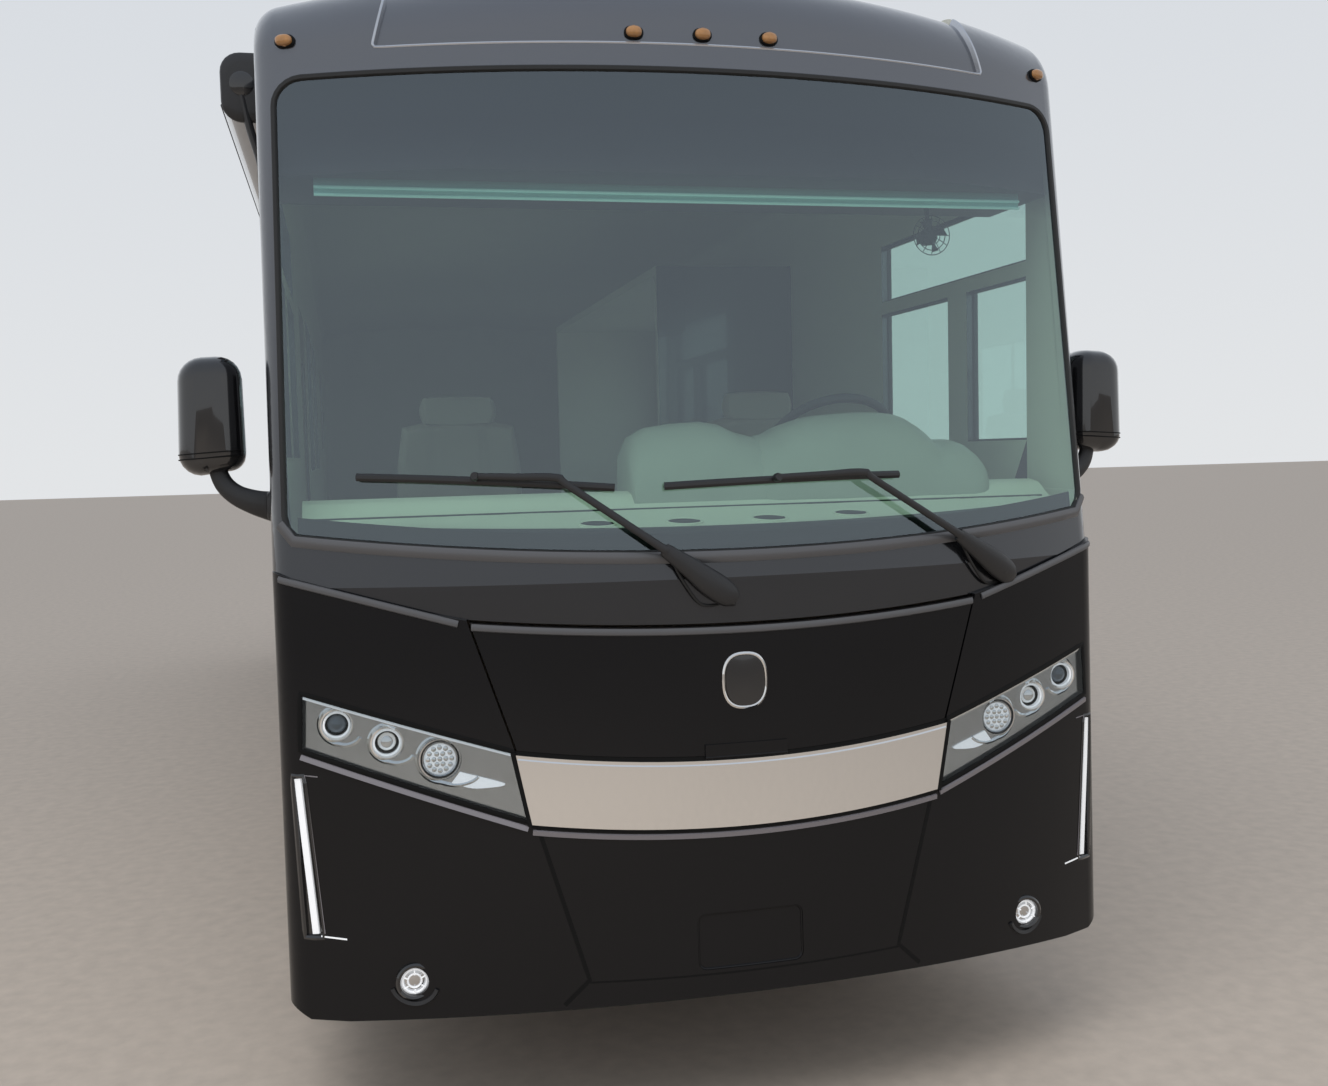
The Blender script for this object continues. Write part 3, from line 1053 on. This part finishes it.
# Awning: end caps, cloth roll and arms
AWNING = (1.23, 7.303)
AWNING_X, AWNING_Z = -1.345, 3.215
cap_face = rounded([(-1.42, 3.1, 0.067), (-1.277, 3.1, 0), (-1.277, 3.33, 0), (-1.42, 3.33, 0.067)])
for s, turn in zip(AWNING, (-1, 1)):
    rings = []
    for shrink, out in ((0.1, -0.004), (0, -0.002), (0, 0.01), (0.06, 0.017), (0.3, 0.022)):
        rings.append([(x + (AWNING_X - x) * shrink, at(s) + turn * out, z + (AWNING_Z - z) * shrink)
            for x, z in cap_face])
    skin("cap", black_plastic, rings)
    lathe("hub", black_gloss, (-1.35, at(s) + turn * 0.014, 3.225), (0, turn, 0), [(0, 40), (10, 40),
        (14, 34), (16, 0)], 28)
    middle = s + turn * 0.006
    arm = ((-1.352, 3.19, 0.02), (-1.33, 3.08, 0.02), (-1.3, 2.96, 0.019), (-1.292, 2.84, 0.016))
    tube("arm", black_plastic, placed([(x, middle, z, r) for x, z, r in arm]), 12, 5, 0.7, LEFTWARD)
    box_mesh("bracket", black_plastic, (-1.306, at(middle) - 0.028, 2.78), (-1.2755, at(middle) + 0.028,
        2.86), 0.006)
for x, z in ((-1.388, 3.118), (-1.418, 3.16)):
    hem = placed([(x, s, z, 0.006) for s in (AWNING[0] + 0.02, 4.2, AWNING[1] - 0.02)])
    tube("hem", awning_cloth, hem, 10, 2)
group("awning_detail")

# Rear: louvred engine door, lamps, bumper strip, camera and plate with its light
for i in range(11):
    z = 0.8 + 0.048 * i
    band("louvre", black_plastic, rear_at, [(-0.56, z), (0.56, z)], [(-16, 0), (-18, 14), (-12, 16),
        (16, 4), (16, 0)])
grille = rectangle(-0.585, 0.765, 0.585, 1.315, 0.03)
band("grille_frame", black_gloss, rear_at, grille, [(-10, 0), (-8, 10), (8, 10), (10, 0)], True)
for u in (-0.45, 0.45):
    dome("latch", black_plastic, rear_at, (u, 0.64), (0.05, 0.024), [(1, 0), (0.96, 8), (0.6, 12),
        (0.01, 12)], 4)
band("edge", fascia_paint, rear_at, rectangle(-0.742, 0.578, 0.742, 1.4), flat(3, 1.5), True)
group("engine_door_detail", "engine_door")

rear_marker = [(1, 0), (0.96, 12), (0.6, 20), (0.01, 22)]
for k in (-1, 1):
    u = -k * 1.065
    for z in (1.595, 1.805):
        dome("bezel", black_gloss, rear_at, (u, z), (0.072, 0.104), [(1, 0), (1, 12), (0.96, 20), (0.9, 24),
            (0.88, 1)], 5)
        dome("lens", red_lens, rear_at, (u, z), (0.063, 0.093), [(1, 20), (0.98, 28), (0.85, 34), (0.5, 37),
            (0.01, 38)], 4.5)
    dome("reverse", lamp_white, rear_at, (u, 1.42), (0.06, 0.045), [(1, 0), (1, 12), (0.9, 20), (0.5, 24),
        (0.01, 25)], 4)
    dome("reflector", red_lens, rear_at, (-k * 1.06, 0.62), (0.05, 0.022), [(1, 0), (0.98, 8), (0.7, 10),
        (0.01, 10)], 3.5)
for u, z in ((1.08, 3.08), (-1.08, 3.08), (-0.2, 3.13), (0, 3.13), (0.2, 3.13)):
    dome("marker", red_lens, rear_at, (u, z), (0.026, 0.018), rear_marker, 2.6)
dome("camera", black_plastic, rear_at, (0, 3.02), (0.06, 0.045), [(1, 0), (0.98, 30), (0.85, 48), (0.4, 56),
    (0.01, 57)], 3)
lathe("camera_lens", lens_ball, (0, at(BODY_LENGTH) + 0.05, 3.01), (0, 1, -0.3), [(0, 20), (8, 19),
    (11, 10), (12, 0)], 24)
band("bumper", body_paint, rear_at, [(-1.16, 0.515), (1.16, 0.515)], [(-45, 0), (-45, 22), (-30, 40),
    (30, 40), (45, 22), (45, 0)])
quad("plate", aluminium, rear_at, [(-1.13, 1.13), (-0.83, 1.13), (-0.83, 1.285), (-1.13, 1.285)], 0.004, 0,
    2, 2)
plate_line = rectangle(-1.135, 1.125, -0.825, 1.29, 0.012)
band("plate_frame", black_plastic, rear_at, plate_line, [(-8, 0), (-6, 7), (6, 7), (8, 0)], True)
band("plate_light", black_plastic, rear_at, [(-1.02, 1.31), (-0.94, 1.31)], [(-10, 0), (-10, 18), (10, 22),
    (10, 0)])
group("rear_detail")

# Roof: air-conditioner shrouds, vents, a receiver dome and lifting eyes
SHROUD_RINGS = ((3.35, 0.345, 0.52, 0.09), (3.43, 0.338, 0.508, 0.1), (3.56, 0.318, 0.478, 0.11),
    (3.64, 0.29, 0.44, 0.12), (3.67, 0.25, 0.395, 0.12), (3.679, 0.19, 0.33, 0.1))
for s in (3.2, 7.003):
    skin("shroud", roof_shell, [[(x, at(s) + y, z) for x, y in rectangle(-half_x, -half_s, half_x, half_s,
        radius)] for z, half_x, half_s, radius in SHROUD_RINGS])
    for k in (-1, 1):
        for i in range(8):
            z = 3.43 + 0.022 * i
            x = k * (0.341 - 0.14 * (z - 3.43))
            box_mesh("slot", seam_black, (x - 0.006, at(s) - 0.36, z), (x + 0.006, at(s) + 0.36, z + 0.008),
                0.002)
    box_mesh("rear_grille", black_plastic, (-0.22, at(s) + 0.492, 3.42), (0.22, at(s) + 0.512, 3.56), 0.006)
VENT_X = 0.5
for s in (4.798, 8.783):
    rings = []
    for z, half, radius, arch in ((3.33, 0.198, 0.02, 0), (3.42, 0.198, 0.03, 0), (3.44, 0.196, 0.04, 0),
            (3.448, 0.185, 0.04, 0.035)):
        rings.append([(VENT_X + x, at(s) + y, z + arch * (1 - (x / 0.2) ** 2)) for x, y in rectangle(-half,
            -half, half, half, radius)])
    skin("lid", roof_shell, rings)
    for i in range(-2, 3):
        x = VENT_X + 0.07 * i
        box_mesh("rib", roof_shell, (x - 0.006, at(s) - 0.17, 3.44), (x + 0.006, at(s) + 0.17, 3.455),
            0.003)
receiver = [(0, 0), (0, 215), (35, 215), (60, 205), (130, 180), (200, 130), (235, 60), (243, 0)]
lathe("dome", roof_shell, (-0.45, at(5.6), 3.34), UPWARD, receiver, 48)
for x in (-0.72, 0.72):
    for s in (1.3, 9.9):
        lathe("eye", steel_tube, (x, at(s), 3.33), UPWARD, [(0, 30), (30, 28), (34, 12), (34, 0)], 20)
group("roof_detail", replaces=("roof_units",))


# Wheels: hub caps, nuts and valve stems
NUT_CIRCLE, VALVE_HEIGHT = 0.126, 0.232


def wheel_trim(k, x, s, face, hub, hub_face):
    """Trim of one wheel: face is the disc's place along the axle, hub the cap's radius in millimetres."""
    centre, axis = Vector((k * x, at(s), TYRE_RADIUS)), Vector((k, 0, 0))
    cap = [(0, hub), (12, hub + 2), (30, hub - 4), (52, hub - 22), (60, hub * 0.5), (62, 0), (0, 0)]
    lathe("cap", chrome, centre + axis * hub_face, axis, cap, 40)
    nut = [(-4, 0), (-4, 22), (4, 22), (6, 17.5), (30, 16.5), (36, 13), (38, 0)]
    for turn in turns(10, 0.5):
        out = Vector((0, cos(turn), sin(turn)))
        lathe("nut", chrome, centre + axis * face + out * NUT_CIRCLE, axis, nut, 6)
    stem = centre + Vector((0, 0, VALVE_HEIGHT))
    valve = [(*stem + axis * (face + reach), radius) for reach, radius in ((-0.05, 0.004), (-0.01, 0.004),
        (0.012, 0.005))]
    tube("valve", black_plastic, valve, 10, 3, 1, REARWARD)


for k, name in SIDES:
    for end, *place in (("front", 1.02, S_FRONT_AXLE, 0.098, 58, 0.124), ("rear", 1.105, S_REAR_AXLE,
            -0.131, 62, 0)):
        wheel_trim(k, *place)
        group(f"{end}_wheel_trim_{name}", f"{end}_wheel_{name}")

# Wheel wells and mud flaps
WELL_RADIUS, WELL_OUTER = 0.556, 1.234
for k in (-1, 1):
    for s_axle, inner in ((S_FRONT_AXLE, 0.66), (S_REAR_AXLE, 0.6)):
        corners = ((inner, WELL_RADIUS), (WELL_OUTER, WELL_RADIUS), (WELL_OUTER, WELL_RADIUS + 0.006),
            (inner, WELL_RADIUS + 0.006))
        skin("liner", black_plastic, [[(k * x, at(s_axle) + r * cos(a), TYRE_RADIUS + r * sin(a))
            for x, r in corners] for a in spread(0, pi, 32)])
group("wheel_wells")

for k in (-1, 1):
    for s, middle, half in ((2.51, 1.05, 0.14), (7.79, 0.96, 0.28)):
        corners = ((middle - half, -0.004), (middle + half, -0.004), (middle + half, 0.004),
            (middle - half, 0.004))
        skin("flap", rubber, [[(k * x, at(s) + y, z) for x, y in corners] for z in (0.2, 0.35, 0.5, 0.7,
            1.06)])
group("mud_flaps")

# Stage, light and camera
FLOOR_HALF = 80
floor_mesh = bpy.data.meshes.new("studio_floor")
floor_mesh.from_pydata([(*corner, 0) for corner in rectangle(-FLOOR_HALF, -FLOOR_HALF, FLOOR_HALF,
    FLOOR_HALF)], [], [(0, 1, 2, 3)])
floor_mesh.materials.append(finish("studio_floor", (0.56, 0.475, 0.395), 0.85, 0, 0, 0.16, 40, 0.1, 14))
linked("studio_floor", floor_mesh)

world = bpy.data.worlds.new("studio_sky")
world.use_nodes = True
bpy.context.scene.world = world
tree = world.node_tree
sky = tree.nodes["Background"]
ramp = tree.nodes.new("ShaderNodeValToRGB")
ramp.color_ramp.elements[0].color = (0.9, 0.92, 0.94, 1)
ramp.color_ramp.elements[1].color = (0.62, 0.69, 0.8, 1)
tree.links.new(height(tree, "Generated"), ramp.inputs["Fac"])
tree.links.new(ramp.outputs["Color"], sky.inputs["Color"])
sky.inputs["Strength"].default_value = 0.85

LAMP_PLACE, LAMP_TARGET = Vector((-3, -9, 9)), Vector((0, -4, 1.5))
lamp = bpy.data.lights.new("soft_top", "AREA")
lamp.shape = "RECTANGLE"
lamp.size, lamp.size_y = 7, 5
lamp.energy = 420
light = linked("soft_top", lamp)
light.location = LAMP_PLACE
light.rotation_euler = (LAMP_TARGET - LAMP_PLACE).to_track_quat("-Z", "Y").to_euler()
light.visible_glossy = False

CAMERA_PLACE = Vector((-1.0652, at(-3.5621), 1.9537))
CAMERA_YAW, CAMERA_PITCH, CAMERA_ROLL = 0.23373, -0.06826, -0.02475
FOCAL_PIXELS, FRAME_WIDTH = 1331.5, 1328

ahead = Vector((sin(CAMERA_YAW) * cos(CAMERA_PITCH), cos(CAMERA_YAW) * cos(CAMERA_PITCH),
    sin(CAMERA_PITCH)))
right = Vector((cos(CAMERA_YAW), -sin(CAMERA_YAW), 0))
up = right.cross(ahead)
side = right * cos(CAMERA_ROLL) + up * sin(CAMERA_ROLL)
top = up * cos(CAMERA_ROLL) - right * sin(CAMERA_ROLL)
camera_data = bpy.data.cameras.new("view")
camera_data.sensor_width = 36
camera_data.lens = FOCAL_PIXELS / FRAME_WIDTH * camera_data.sensor_width
camera = linked("view", camera_data)
camera.matrix_world = Matrix.Translation(CAMERA_PLACE) @ Matrix((side, top, -ahead)).transposed().to_4x4()
bpy.context.scene.camera = camera
bpy.context.scene.view_settings.view_transform = "Standard"
